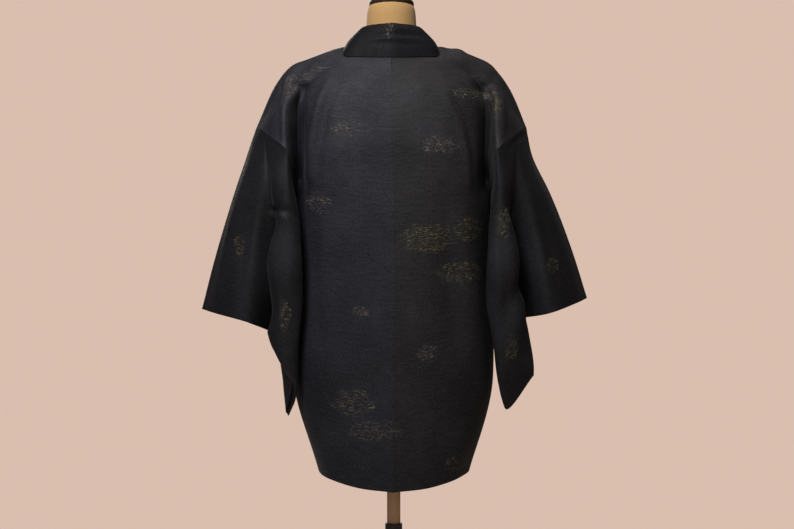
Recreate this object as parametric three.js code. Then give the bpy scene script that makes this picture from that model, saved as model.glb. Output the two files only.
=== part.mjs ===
// A haori, the hip-length kimono jacket, hung on a headless dress form. Millimetres, +Z up.
// The wearer faces -Y and the wearer's left is +X, so the back of the jacket faces +Y.
// Each piece of cloth is a wall laid over sections through its folds, written as [x, y, z].
import * as THREE from "three";

// ---- Cloth and seams ----
const CLOTH = 1.6; // body, sleeves and gussets
const COLLAR_CLOTH = 4; // folded band
const SEAM = 0.55; // half of the gap between two sewn edges
const COLLAR_SEAM = 0.9; // the thick band stands at an angle to the body, so its gap is wider
const SLEEVE_DEPTH = 13; // between the two layers of a hanging sleeve

// ---- Dress form ----
const FORM_SIDES = 32;
const POLE_SIDES = 24;
const POLE_RADIUS = 12.7;
const BASE_TOP = 24;
const JOINT = 0.3; // gap between two stacked pieces
const TORSO_FOOT = 676;
const LEAN = 4.5; // the neck and shoulders stand this far to the wearer's left of the pole
const LEAN_HEIGHTS = [1080, 1280]; // where that begins and is full
const NECK_TOP = 1490;
const MIDDLE = [1.5, 40]; // from the pole to the middle of the whole outline, so that the origin is there

const COLOURS = {
  cloth: 0x16171f,
  form: 0xc79a5f,
  cap: 0x241c1a,
  wood: 0x96694b,
  base: 0x2b2826,
};

// ---- Body, half of the jacket ----
// A row for each section, from the back hem over the shoulder to the front hem: the mesh cells up
// to the next section, then the centre (or neck) edge, back, blade, lip, slit, crest and side edge.
const BODY_SECTIONS = [
  // back hem, hip, waist
  [4, [0, 135, 590], [58, 131, 596], [104, 110, 605], [134, 62, 610],
    [143, 8, 610], [143, -36, 608], [141, -72, 604]],
  [3, [0, 130, 770], [68, 127, 770], [134, 106, 770], [170, 72, 770],
    [186, 26, 770], [188, -12, 770], [186, -45, 770]],
  [3, [0, 127, 950], [66, 124, 950], [122, 108, 950], [152, 88, 950],
    [172, 54, 950], [187, 22, 950], [188, -8, 950]],
  // underarm, deep fold beside it, fold over the armhole seam
  [2, [0, 121, 1125], [68, 120, 1125], [118, 110, 1122], [150, 92, 1118],
    [168, 60, 1115], [179, 32, 1116], [183, 8, 1118]],
  [2, [0, 118, 1174], [66, 117, 1174], [116, 109, 1172], [154, 91, 1166],
    [172, 30, 1158], [180, 34, 1162], [188, 66, 1157]],
  [2, [0, 115, 1225], [64, 114, 1224], [114, 108, 1222], [156, 90, 1216],
    [174, 50, 1206], [185, 90, 1219], [190, 113, 1203]],
  // shoulder blade, nape, back of the neck, shoulder line
  [2, [0, 96, 1322], [62, 98, 1318], [116, 94, 1308], [160, 77, 1299],
    [174, 46, 1290], [192, 88, 1285], [234, 60, 1242]],
  [2, [0, 76, 1379], [44, 76, 1367], [100, 72, 1351], [149, 61, 1337],
    [171, 40, 1326], [194, 62, 1313], [243, 44, 1250]],
  [2, [84, 58, 1383], [100, 54, 1378], [126, 48, 1368], [158, 38, 1353],
    [186, 32, 1340], [210, 34, 1320], [250, 24, 1256]],
  [2, [86, -2, 1414], [104, -2, 1410], [128, -1, 1402], [158, 0, 1390],
    [190, 0, 1376], [222, 0, 1338], [257, 0, 1259]],
  // front of the neck, chest, fold over the armhole seam
  [2, [98, -46, 1393], [112, -44, 1388], [132, -42, 1379], [160, -40, 1364],
    [188, -36, 1343], [214, -34, 1316], [250, -24, 1256]],
  [2, [102, -88, 1333], [116, -84, 1328], [136, -78, 1318], [160, -68, 1304],
    [180, -58, 1294], [204, -78, 1282], [234, -58, 1242]],
  [2, [100, -122, 1225], [117, -120, 1222], [138, -114, 1218], [158, -96, 1212],
    [176, -52, 1206], [182, -78, 1222], [195, -96, 1203]],
  // deep fold beside the underarm, underarm, waist, hip and front hem
  [2, [97, -132, 1170], [114, -130, 1170], [135, -122, 1168], [154, -100, 1164],
    [172, -30, 1158], [178, -34, 1162], [189, -62, 1157]],
  [3, [92, -142, 1118], [110, -140, 1118], [130, -130, 1118], [152, -108, 1118],
    [168, -72, 1115], [179, -36, 1116], [183, -8, 1118]],
  [3, [84, -168, 950], [98, -158, 950], [114, -160, 950], [132, -142, 950],
    [152, -124, 950], [176, -84, 950], [188, -36, 950]],
  [4, [78, -190, 770], [92, -174, 770], [108, -182, 770], [124, -158, 770],
    [146, -150, 770], [164, -118, 770], [180, -86, 770]],
  [0, [75, -214, 590], [88, -190, 590], [104, -204, 590], [112, -172, 590],
    [128, -176, 594], [128, -148, 597], [135, -134, 600]],
];
const CELLS_BETWEEN_FOLDS = 3;
const UNDERARM_BACK = 3; // sections by number
const NAPE = 7;
const SHOULDER = 9;
const UNDERARM_FRONT = 14;

// ---- Collar ----
// A row for each section from the centre back to the front hem, at the body sections from the nape
// on: the edge away from the body. The other edge follows the neck edge of the body.
const COLLAR_TOP = [
  [0, 58, 1446],
  [50, 38, 1443],
  [66, -12, 1433],
  [66, -62, 1409],
  [60, -116, 1346],
  [46, -146, 1230],
  [40, -157, 1172],
  [36, -166, 1120],
  [27, -190, 950],
  [19, -208, 770],
  [14, -228, 590],
];
const COLLAR_CELLS = 4;
const COLLAR_ROLL = 4; // how far the band bows outward between its two edges

// ---- Sleeves ----
// The lower inner edge of a sleeve below the armhole: down the back, the bottom corner, up the front.
const SLEEVE_INNER_EDGE = [
  [199, 30, 1028],
  [207, -38, 905],
  [209, -50, 1010],
];
// The mesh columns of the points of each sleeve section below, so that folds run along the columns.
const SLEEVE_COLUMNS = [
  [0, 2, 5, 6, 7, 8, 10, 13, 18],
  [0, 3, 5, 7, 8, 9, 11, 14, 18],
  [0, 3, 5, 7, 9, 11, 13, 15, 18],
  [0, 3, 5, 7, 9, 11, 13, 15, 18],
];
// A row for each section across the sleeve between armhole and cuff. Points run over the back
// layer from the top fold to the bottom fold.
const SLEEVE_LEFT = [
  [[279, 0, 1200], [264, 46, 1190], [238, 78, 1172], [226, 85, 1154], [219, 101, 1136],
    [194, 116, 1108], [170, 100, 1062], [195, 60, 985], [204, 0, 872]],
  [[307, 0, 1123], [288, 48, 1110], [252, 80, 1082], [208, 58, 1040], [227, 100, 1006],
    [194, 117, 948], [168, 102, 905], [186, 80, 860], [202, 38, 806]],
  [[341, 0, 1010], [316, 50, 998], [264, 82, 972], [208, 22, 905], [229, 90, 880],
    [200, 112, 820], [178, 96, 775], [184, 84, 746], [194, 71, 719]],
  [[366, 0, 913], [334, 46, 907], [270, 78, 892], [224, -10, 864], [232, 80, 874],
    [224, 88, 850], [215, 82, 832], [210, 74, 822], [209, 64, 812]],
];
const SLEEVE_RIGHT = [
  [[267, 0, 1206], [256, 46, 1194], [238, 76, 1176], [224, 86, 1160], [214, 102, 1140],
    [197, 116, 1110], [174, 100, 1062], [195, 60, 985], [206, 0, 872]],
  [[300, 0, 1132], [284, 48, 1118], [254, 80, 1090], [212, 58, 1048], [228, 100, 1010],
    [202, 117, 948], [174, 102, 905], [190, 80, 860], [204, 38, 806]],
  [[340, 0, 1026], [318, 50, 1012], [272, 82, 986], [214, 22, 950], [235, 94, 938],
    [220, 110, 858], [196, 100, 796], [201, 88, 756], [208, 71, 731]],
  [[369, 0, 934], [342, 46, 926], [286, 80, 908], [232, -10, 894], [242, 84, 898],
    [250, 90, 858], [256, 82, 828], [259, 72, 808], [260, 62, 793]],
];
const SLEEVE_CELLS = 3; // mesh cells between two sections
const INNER_EDGE_CELLS = 6; // on each of the two layers below the armhole
const UNDERARM_SLACK = 4.4; // the free inner edge stands out from the body where the seam ends
const FRONT_FULLNESS = 16; // how far that layer bellies outward on the way
const FULLNESS_START = [0.1, 0.6]; // shares of its height from the top fold where that begins and is full
const FRONT_SPREAD = 0.42; // share of the sleeve over which its front layer swings to the back

// ---- Dress form sections: height, half width, half depth, middle in Y ----
const TORSO_SECTIONS = [
  [TORSO_FOOT, 118, 82, 0],
  [700, 126, 88, 0],
  [800, 134, 92, 2],
  [950, 116, 82, 4],
  [1100, 138, 96, 2],
  [1200, 152, 102, 2],
  [1280, 166, 92, 4],
  [1332, 176, 66, 6],
  [1354, 183, 48, 6],
  [1371.4, 180, 34, 4],
  [1382, 150, 38, 4],
  [1392, 118, 44, 3],
  [1403.5, 84, 48, 2],
  [1417, 60, 49, 1],
  [1436, 50, 48, 0],
  [1458, 47.5, 46.5, 0],
  [1476, 46.2, 45.5, 0],
  [1485, 44.6, 44, 0],
  [NECK_TOP, 42.5, 42.5, 0],
];

// ---- Curves and grids ----
const vector = ([x, y, z]) => new THREE.Vector3(x, y, z);
const leanAt = (height) => LEAN * THREE.MathUtils.smoothstep(height, ...LEAN_HEIGHTS);

// A smooth curve through points, sampled at places counted in points from the first.
function sampleCurve(points, places) {
  const curve = new THREE.CatmullRomCurve3(points, false, "centripetal");
  return places.map((place) => curve.getPoint(Math.min(1, place / (points.length - 1))));
}

// The places between numbered points when each span between two of them holds its own cells.
function placesWithin(cellsPerSpan) {
  const places = [0];
  cellsPerSpan.forEach((cells, span) => {
    for (let step = 1; step <= cells; step += 1) places.push(span + step / cells);
  });
  return places;
}

// Lays a grid over sections of equal length: rows go across them, columns along them.
function loft(sections, rowPlaces, columnPlaces) {
  const across = sections.map((section) => sampleCurve(section, columnPlaces));
  const columns = columnPlaces.map((_, column) =>
    sampleCurve(across.map((section) => section[column]), rowPlaces),
  );
  return rowPlaces.map((_, row) => columns.map((column) => column[row]));
}

// Moves the first or last column of a grid towards its neighbour.
function trimColumn(grid, fromEnd, amount) {
  for (const line of grid) {
    const edge = fromEnd ? line.length - 1 : 0;
    const inside = fromEnd ? edge - 1 : 1;
    const step = line[inside].clone().sub(line[edge]).setLength(amount);
    line[edge] = line[edge].clone().add(step);
  }
}

// The normal of a grid at each point, from its neighbours.
function normalsOf(grid, ring) {
  const last = grid.length - 1;
  return grid.map((line, row) =>
    line.map((_, column) => {
      const count = line.length;
      const before = ring ? (column + count - 1) % count : Math.max(column - 1, 0);
      const after = ring ? (column + 1) % count : Math.min(column + 1, count - 1);
      const along = grid[Math.min(row + 1, last)][column].clone();
      along.sub(grid[Math.max(row - 1, 0)][column]);
      const across = line[after].clone().sub(line[before]);
      return across.cross(along).normalize();
    }),
  );
}

// A closed wall of even thickness with the grid in its middle.
function wallOf(grid, thickness, ring, normals = normalsOf(grid, ring)) {
  const rows = grid.length;
  const columns = grid[0].length;
  const positions = [];
  for (const side of [0.5, -0.5]) {
    grid.forEach((line, row) =>
      line.forEach((point, column) => {
        const offset = normals[row][column].clone().multiplyScalar(side * thickness);
        positions.push(...point.clone().add(offset).toArray());
      }),
    );
  }
  const at = (row, column, face) => face * rows * columns + row * columns + (column % columns);
  const indices = [];
  const quad = (a, b, c, d) => indices.push(a, b, c, a, c, d);
  const lastColumn = ring ? columns : columns - 1;
  const end = rows - 1;
  const edge = columns - 1;
  for (let row = 0; row < end; row += 1) {
    for (let column = 0; column < lastColumn; column += 1) {
      const [below, beside] = [row + 1, column + 1];
      quad(at(row, column, 0), at(row, beside, 0), at(below, beside, 0), at(below, column, 0));
      quad(at(row, column, 1), at(below, column, 1), at(below, beside, 1), at(row, beside, 1));
    }
  }
  for (let column = 0; column < lastColumn; column += 1) {
    const beside = column + 1;
    quad(at(0, column, 0), at(0, column, 1), at(0, beside, 1), at(0, beside, 0));
    quad(at(end, column, 0), at(end, beside, 0), at(end, beside, 1), at(end, column, 1));
  }
  if (!ring) {
    for (let row = 0; row < end; row += 1) {
      const below = row + 1;
      quad(at(row, 0, 0), at(below, 0, 0), at(below, 0, 1), at(row, 0, 1));
      quad(at(row, edge, 0), at(row, edge, 1), at(below, edge, 1), at(below, edge, 0));
    }
  }
  return closedGeometry(positions, indices);
}

// Faces turned outward whichever way the grid ran.
function closedGeometry(positions, indices) {
  const corner = (index) => new THREE.Vector3().fromArray(positions, 3 * index);
  let volume = 0;
  for (let i = 0; i < indices.length; i += 3) {
    const [a, b, c] = [corner(indices[i]), corner(indices[i + 1]), corner(indices[i + 2])];
    volume += a.dot(b.cross(c));
  }
  if (volume < 0) indices.reverse();
  const geometry = new THREE.BufferGeometry();
  geometry.setAttribute("position", new THREE.Float32BufferAttribute(positions, 3));
  geometry.setIndex(indices);
  geometry.computeVertexNormals();
  return geometry;
}

const mirrored = (grid) => grid.map((line) => line.map((p) => new THREE.Vector3(-p.x, p.y, p.z)));
const leaned = (grid) => grid.map((line) => line.map((p) => new THREE.Vector3(p.x + leanAt(p.z), p.y, p.z)));

// ---- Body grid ----
const bodyCells = BODY_SECTIONS.slice(0, -1).map(([cells]) => cells);
const rowOfSection = BODY_SECTIONS.map((_, section) =>
  bodyCells.slice(0, section).reduce((sum, cells) => sum + cells, 0),
);

function bodyGrid() {
  const sections = BODY_SECTIONS.map(([, ...points]) => points.map(vector));
  const folds = sections[0].length - 1;
  const places = placesWithin(Array(folds).fill(CELLS_BETWEEN_FOLDS));
  const grid = loft(sections, placesWithin(bodyCells), places);
  for (const line of grid.slice(0, rowOfSection[NAPE] + 1)) line[0].x = 0; // the centre back seam
  const [nape, neck] = [rowOfSection[NAPE], rowOfSection[NAPE + 1]];
  for (let row = nape + 1; row < neck; row += 1) {
    const straight = grid[nape][0].clone().lerp(grid[neck][0], (row - nape) / (neck - nape));
    const drop = straight.sub(grid[row][0]);
    for (let column = 0; column < CELLS_BETWEEN_FOLDS; column += 1) {
      grid[row][column].addScaledVector(drop, 1 - column / CELLS_BETWEEN_FOLDS);
    }
  }
  return grid;
}

// ---- Sleeve grid ----
function sleeveGrid(body, sections) {
  const edge = body.map((line) => line[line.length - 1]);
  const top = rowOfSection[SHOULDER];
  const back = rowOfSection[UNDERARM_BACK];
  const front = rowOfSection[UNDERARM_FRONT];
  const slack = new THREE.Vector3(UNDERARM_SLACK, 0, 0);
  const backHole = edge.slice(back, top + 1).reverse();
  const frontHole = edge.slice(top, front + 1).reverse();
  backHole[backHole.length - 1] = backHole[backHole.length - 1].clone().add(slack);
  frontHole[0] = frontHole[0].clone().add(slack);
  const [backMiddle, corner, frontMiddle] = SLEEVE_INNER_EDGE.map(vector);
  const down = sampleCurve(
    [backHole[backHole.length - 1], backMiddle, corner],
    placesWithin([INNER_EDGE_CELLS / 2, INNER_EDGE_CELLS / 2]),
  );
  const up = sampleCurve(
    [corner, frontMiddle, frontHole[0]],
    placesWithin([INNER_EDGE_CELLS / 2, INNER_EDGE_CELLS / 2]),
  );
  const backEdge = [...backHole, ...down.slice(1)];
  const frontEdge = [...up.slice(1), ...frontHole.slice(1, -1)];
  const backCells = backEdge.length - 1;
  const lines = [backEdge];
  sections.forEach((section, number) => {
    const starts = SLEEVE_COLUMNS[number];
    const places = backEdge.map((_, column) => {
      const span = starts.findIndex((start, i) => column <= starts[i + 1]);
      return span + (column - starts[span]) / (starts[span + 1] - starts[span]);
    });
    lines.push(sampleCurve(section.map(vector), places));
  });
  const rowPlaces = placesWithin(Array(sections.length).fill(SLEEVE_CELLS));
  const columns = backEdge.map((_, column) => sampleCurve(lines.map((line) => line[column]), rowPlaces));
  const backLayer = rowPlaces.map((_, row) => columns.map((column) => column[row]));
  const normals = normalsOf(backLayer, false);
  const frontCount = frontEdge.length;
  return backLayer.map((line, row) => {
    const swing = 1 - THREE.MathUtils.smoothstep(row / (backLayer.length - 1), 0, FRONT_SPREAD);
    const frontLine = frontEdge.map((start, step) => {
      const share = 1 - (step + 1) / (frontCount + 1);
      const place = share * backCells;
      const low = Math.floor(place);
      const high = Math.min(low + 1, backCells);
      const mix = (list) => list[low].clone().lerp(list[high], place - low);
      const ends = Math.min(1, 4 * Math.min(share, 1 - share) + 0.45);
      const nested = mix(line).add(mix(normals[row]).normalize().multiplyScalar(ends * SLEEVE_DEPTH));
      const hung = mix(line).sub(mix(backLayer[0]));
      const carried = new THREE.Vector3(start.x + hung.x, start.y - hung.y, start.z + hung.z);
      const fullness = THREE.MathUtils.smoothstep(share, ...FULLNESS_START);
      carried.x += FRONT_FULLNESS * fullness * Math.sin(Math.PI * swing);
      return nested.lerp(carried, swing);
    });
    return [...line, ...frontLine];
  });
}

// ---- Gusset between the side edges of back and front ----
function gussetGrid(body) {
  const cells = 4;
  const last = body.length - 1;
  const hem = rowOfSection[UNDERARM_BACK];
  const frontRows = last - rowOfSection[UNDERARM_FRONT];
  return Array.from({ length: hem + 1 }, (_, row) => {
    const back = body[row][body[row].length - 1];
    const front = body[last - Math.round((row * frontRows) / hem)];
    return Array.from({ length: cells + 1 }, (_, cell) =>
      back.clone().lerp(front[front.length - 1], cell / cells),
    );
  });
}

// ---- Collar grid from the centre back to one front hem ----
function collarGrid(body) {
  const neck = body.slice(rowOfSection[NAPE]).map((line) => line[0]);
  const top = sampleCurve(COLLAR_TOP.map(vector), placesWithin(bodyCells.slice(NAPE)));
  return neck.map((edge, row) =>
    Array.from({ length: COLLAR_CELLS + 1 }, (_, cell) => {
      const point = edge.clone().lerp(top[row], cell / COLLAR_CELLS);
      const roll = COLLAR_ROLL * Math.sin((Math.PI * cell) / COLLAR_CELLS);
      const outward = new THREE.Vector3(point.x, point.y, 0).setLength(roll);
      return point.add(outward);
    }),
  );
}

// ---- Solid ovals stacked upwards, closed flat at both ends ----
function ovals(sections, sides) {
  const positions = [];
  for (const [z, halfWidth, halfDepth, middle] of sections) {
    for (let side = 0; side < sides; side += 1) {
      const angle = (2 * Math.PI * side) / sides;
      const x = leanAt(z) + halfWidth * Math.cos(angle);
      positions.push(x, middle + halfDepth * Math.sin(angle), z);
    }
  }
  const foot = positions.length / 3;
  const head = foot + 1;
  for (const [z, , , middle] of [sections[0], sections[sections.length - 1]]) {
    positions.push(leanAt(z), middle, z);
  }
  const indices = [];
  for (let ring = 0; ring < sections.length - 1; ring += 1) {
    for (let side = 0; side < sides; side += 1) {
      const [a, b] = [ring * sides + side, ring * sides + ((side + 1) % sides)];
      indices.push(a, b, b + sides, a, b + sides, a + sides);
    }
  }
  const lastRing = (sections.length - 1) * sides;
  for (let side = 0; side < sides; side += 1) {
    const next = (side + 1) % sides;
    indices.push(foot, next, side, head, lastRing + side, lastRing + next);
  }
  return closedGeometry(positions, indices);
}

const rounds = (rows, sides) => ovals(rows.map(([z, radius]) => [z, radius, radius, 0]), sides);

// ---- The pieces ----
const root = new THREE.Group();

function add(name, geometry, color, roughness, metalness = 0) {
  const mesh = new THREE.Mesh(geometry, new THREE.MeshStandardMaterial({ color, roughness, metalness }));
  mesh.name = name;
  root.add(mesh);
}

const addCloth = (name, grid, thickness, ring, normals) =>
  add(name, wallOf(grid, thickness, ring, normals), COLOURS.cloth, 0.6);

// The two walls of the armhole seam are cut square to the same line, between both their normals.
function shareSeamNormals(bodyNormals, sleeveNormals) {
  const top = rowOfSection[SHOULDER];
  for (let row = rowOfSection[UNDERARM_BACK]; row <= rowOfSection[UNDERARM_FRONT]; row += 1) {
    const ringSize = sleeveNormals[0].length;
    const column = (top - row + ringSize) % ringSize;
    const line = bodyNormals[row];
    const own = sleeveNormals[0][column];
    const seam = line[line.length - 1].clone();
    const turn = Math.sign(seam.dot(own)) || 1;
    seam.addScaledVector(own, turn).normalize();
    line[line.length - 1] = seam;
    sleeveNormals[0][column] = seam.clone().multiplyScalar(turn);
  }
}

const collarHalves = [];
for (const [side, sections] of [
  ["left", SLEEVE_LEFT],
  ["right", SLEEVE_RIGHT],
]) {
  const body = bodyGrid();
  const sleeve = sleeveGrid(body, sections);
  const gusset = gussetGrid(body);
  const collar = collarGrid(body);
  const place = side === "left" ? (grid) => grid : mirrored;
  trimColumn(body, true, SEAM);
  trimColumn(body, false, SEAM);
  trimColumn(gusset, true, SEAM);
  trimColumn(gusset, false, SEAM);
  trimColumn(collar, false, COLLAR_SEAM);
  sleeve[0] = sleeve[0].map((point, column) => {
    const step = sleeve[1][column].clone().sub(point).setLength(SEAM);
    return step.add(point);
  });
  const bodyNormals = normalsOf(body, false);
  const sleeveNormals = normalsOf(sleeve, true);
  shareSeamNormals(bodyNormals, sleeveNormals);
  addCloth("body_" + side, leaned(place(body)), CLOTH, false, place(bodyNormals));
  addCloth("sleeve_" + side, leaned(place(sleeve)), CLOTH, true, place(sleeveNormals));
  addCloth("gusset_" + side, leaned(place(gusset)), CLOTH, false);
  collarHalves.push(leaned(place(collar)));
}

const [collarLeft, collarRight] = collarHalves;
const collarBand = [...collarLeft.slice(1).reverse(), ...collarRight];
addCloth("collar", collarBand, COLLAR_CLOTH, false);

add("form_torso", ovals(TORSO_SECTIONS, FORM_SIDES), COLOURS.form, 0.8);
const capFoot = NECK_TOP + JOINT;
const capRows = [
  [capFoot, 43],
  [capFoot + 5, 43],
  [capFoot + 10, 40],
  [capFoot + 14, 33],
  [capFoot + 16, 20],
];
add("neck_cap", rounds(capRows, FORM_SIDES), COLOURS.cap, 0.45);
const poleRows = [
  [BASE_TOP + JOINT, POLE_RADIUS],
  [TORSO_FOOT - JOINT, POLE_RADIUS],
];
add("pole", rounds(poleRows, POLE_SIDES), COLOURS.wood, 0.5);
const baseRows = [
  [0, 148],
  [2, 150],
  [11, 150],
  [17, 143],
  [BASE_TOP, 22],
];
add("base", rounds(baseRows, FORM_SIDES), COLOURS.base, 0.4, 0.2);

root.position.set(MIDDLE[0], MIDDLE[1], 0);

export default root;
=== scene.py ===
import math

import bmesh
import bpy
import numpy as np
from mathutils import Matrix, Vector, noise


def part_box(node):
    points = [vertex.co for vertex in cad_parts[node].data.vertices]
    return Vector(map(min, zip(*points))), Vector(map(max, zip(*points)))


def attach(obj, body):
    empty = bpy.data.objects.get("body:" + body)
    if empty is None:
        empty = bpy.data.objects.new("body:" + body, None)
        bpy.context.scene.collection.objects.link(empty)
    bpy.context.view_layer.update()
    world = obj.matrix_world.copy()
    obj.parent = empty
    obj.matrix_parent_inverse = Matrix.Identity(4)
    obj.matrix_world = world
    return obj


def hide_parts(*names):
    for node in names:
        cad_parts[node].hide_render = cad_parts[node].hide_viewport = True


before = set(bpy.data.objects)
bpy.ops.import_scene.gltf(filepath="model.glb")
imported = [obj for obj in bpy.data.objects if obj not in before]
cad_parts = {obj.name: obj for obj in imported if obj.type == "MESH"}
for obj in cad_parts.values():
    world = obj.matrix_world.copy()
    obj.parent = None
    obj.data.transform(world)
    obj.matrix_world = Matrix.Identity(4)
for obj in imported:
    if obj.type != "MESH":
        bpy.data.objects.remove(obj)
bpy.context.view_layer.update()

# ---- Round base ----
# A heavy cast disc that keeps the stand upright. It is turned, painted dark and waxed, with a
# socket for the pole rising in its middle.
BASE_EDGE = 0.0015
BASE_PAINT = (0.024, 0.021, 0.019, 1)
BASE_DUST = (0.05, 0.046, 0.042, 1)
SHARP_EDGE = 25  # degrees between two faces, past which their edge is rounded


class Value:
    """A node's output that takes Python's arithmetic, each step as a Math node."""

    def __init__(self, finish, socket):
        self.finish = finish
        self.socket = socket

    def math(self, operation, *others):
        inputs = dict(enumerate((self, *others)))
        return self.finish.node("Math", {"operation": operation}, inputs)

    def __add__(self, other):
        return self.math("ADD", other)

    def __radd__(self, other):
        return self.math("ADD", other)

    def __sub__(self, other):
        return self.math("SUBTRACT", other)

    def __rsub__(self, other):
        return self.finish.node("Math", {"operation": "SUBTRACT"}, {0: other, 1: self})

    def __mul__(self, other):
        return self.math("MULTIPLY", other)

    def __rmul__(self, other):
        return self.math("MULTIPLY", other)

    def __gt__(self, other):
        return self.math("GREATER_THAN", other)

    def held(self):
        return self.finish.node("Clamp", None, {0: self})


class Finish:
    """A material: constants go on its surface shader, and what varies is fed to it."""

    def __init__(self, name, constants):
        self.material = bpy.data.materials.new(name)
        self.material.use_nodes = True
        self.tree = self.material.node_tree
        self.surface = self.tree.nodes["Principled BSDF"]
        for socket, value in constants.items():
            self.surface.inputs[socket].default_value = value

    def node(self, kind, settings=None, inputs=None, output=0):
        made = self.tree.nodes.new("ShaderNode" + kind)
        for name, value in (settings or {}).items():
            if name == "stops":
                ramp = made.color_ramp.elements
                while len(ramp) < len(value):
                    ramp.new(0.5)
                for stop, (place, colour) in zip(ramp, value):
                    stop.position = place
                    stop.color = colour
            else:
                setattr(made, name, value)
        for name, value in (inputs or {}).items():
            self.plug(made.inputs[name], value)
        return Value(self, made.outputs[output])

    def plug(self, socket, value):
        if isinstance(value, Value):
            self.tree.links.new(value.socket, socket)
        else:
            socket.default_value = value

    def feed(self, **values):
        for name, value in values.items():
            self.plug(self.surface.inputs[name.replace("_", " ")], value)

    def place(self):
        return self.node("TexCoord", output=3)

    def stretched(self, vector, amounts):
        return self.node("VectorMath", {"operation": "MULTIPLY"}, {0: vector, 1: amounts})

    def cloudy(self, vector, scale, detail=2.0):
        return self.node("TexNoise", None, {"Vector": vector, "Scale": scale, "Detail": detail})

    def blend(self, share, first, second):
        return self.node("Mix", {"data_type": "RGBA"}, {0: share, 6: first, 7: second}, 2)

    def relief(self, height, distance, strength=1.0):
        inputs = {"Height": height, "Distance": distance, "Strength": strength}
        return self.node("Bump", None, inputs)


def piece_from(name, form, finish, node):
    """A finished piece from a bmesh in the frame's own metres, standing for one CAD node."""
    mesh = bpy.data.meshes.new(name)
    form.to_mesh(mesh)
    form.free()
    mesh.shade_smooth()
    mesh.materials.append(finish.material)
    piece = bpy.data.objects.new(name, mesh)
    bpy.context.scene.collection.objects.link(piece)
    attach(piece, "root")
    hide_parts(node)
    return piece


def turned(profile, middle, steps=96):
    """A closed round form from a profile of (radius, height) that starts and ends on the axis."""
    form = bmesh.new()
    verts = [form.verts.new((middle.x + radius, middle.y, height)) for radius, height in profile]
    edges = [form.edges.new(pair) for pair in zip(verts, verts[1:])]
    bmesh.ops.spin(
        form, geom=verts + edges, cent=middle, axis=(0, 0, 1), angle=math.tau, steps=steps, use_merge=True
    )
    bmesh.ops.remove_doubles(form, verts=form.verts, dist=1e-6)
    bmesh.ops.recalc_face_normals(form, faces=form.faces)
    return form


def round_edges(piece, width, segments=3):
    edge = piece.modifiers.new("rounded edges", "BEVEL")
    edge.width = width
    edge.segments = segments
    edge.limit_method = "ANGLE"
    edge.angle_limit = math.radians(SHARP_EDGE)
    edge.harden_normals = True


base_low, base_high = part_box("base")
pole_low, pole_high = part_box("pole")
stand_middle = Vector(((pole_low.x + pole_high.x) / 2, (pole_low.y + pole_high.y) / 2, 0))
base_radius = (base_high.x - base_low.x) / 2
base_profile = [
    (0, 0),
    (base_radius - 0.002, 0),
    (base_radius, 0.002),
    (base_radius, 0.011),
    (base_radius - 0.007, 0.017),
    (base_radius * 0.55, 0.0205),
    (0.026, 0.0226),
    (0.022, 0.024),
    (0, 0.024),
]
base_paint = Finish("base paint", {"Metallic": 0.2, "Coat Weight": 0.25, "Coat Roughness": 0.3})
speckle = base_paint.cloudy(base_paint.place(), 900, 3)
dust = base_paint.cloudy(base_paint.place(), 14, 4)
base_paint.feed(
    Base_Color=base_paint.blend(dust * 0.5, BASE_PAINT, BASE_DUST),
    Roughness=dust * 0.25 + 0.3,
    Normal=base_paint.relief(speckle, 0.0002, 0.4),
)
base = piece_from("round_base", turned(base_profile, stand_middle), base_paint, "base")
round_edges(base, BASE_EDGE)

# ---- Pole ----
# A turned hardwood pole, varnished, that stands in the base's socket and carries the torso.
# Its grain runs up and down.
POLE_RIM = 0.0006
WOOD_LIGHT = (0.72, 0.44, 0.24, 1)
WOOD_DARK = (0.5, 0.29, 0.15, 1)

pole_radius = (pole_high.x - pole_low.x) / 2
pole_profile = [(0, pole_low.z), (pole_radius, pole_low.z), (pole_radius, pole_high.z), (0, pole_high.z)]
varnished_wood = Finish("varnished wood", {"Coat Weight": 0.35, "Coat Roughness": 0.25})
wood_place = varnished_wood.stretched(varnished_wood.place(), (1, 1, 0.04))
grain = varnished_wood.cloudy(wood_place, 420, 5)
figure = varnished_wood.cloudy(wood_place, 90, 3)
varnished_wood.feed(
    Base_Color=varnished_wood.blend(grain * 0.6 + figure * 0.4, WOOD_DARK, WOOD_LIGHT),
    Roughness=grain * 0.2 + 0.34,
    Normal=varnished_wood.relief(grain, 0.0003, 0.35),
)
pole = piece_from("wood_pole", turned(pole_profile, stand_middle, 64), varnished_wood, "pole")
round_edges(pole, POLE_RIM)

# ---- Clamp ring ----
# A dark painted ring round the pole, clamped on it, that sets the height of the torso.
RING_TOP = 0.505
RING_HEIGHT = 0.04
RING_WALL = 0.0035
RING_EDGE = 0.001

ring_radius = pole_radius + RING_WALL
ring_profile = [
    (0, RING_TOP - RING_HEIGHT),
    (ring_radius, RING_TOP - RING_HEIGHT),
    (ring_radius, RING_TOP),
    (0, RING_TOP),
]
ring = piece_from("clamp_ring", turned(ring_profile, stand_middle), base_paint, "pole")
round_edges(ring, RING_EDGE)

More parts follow.
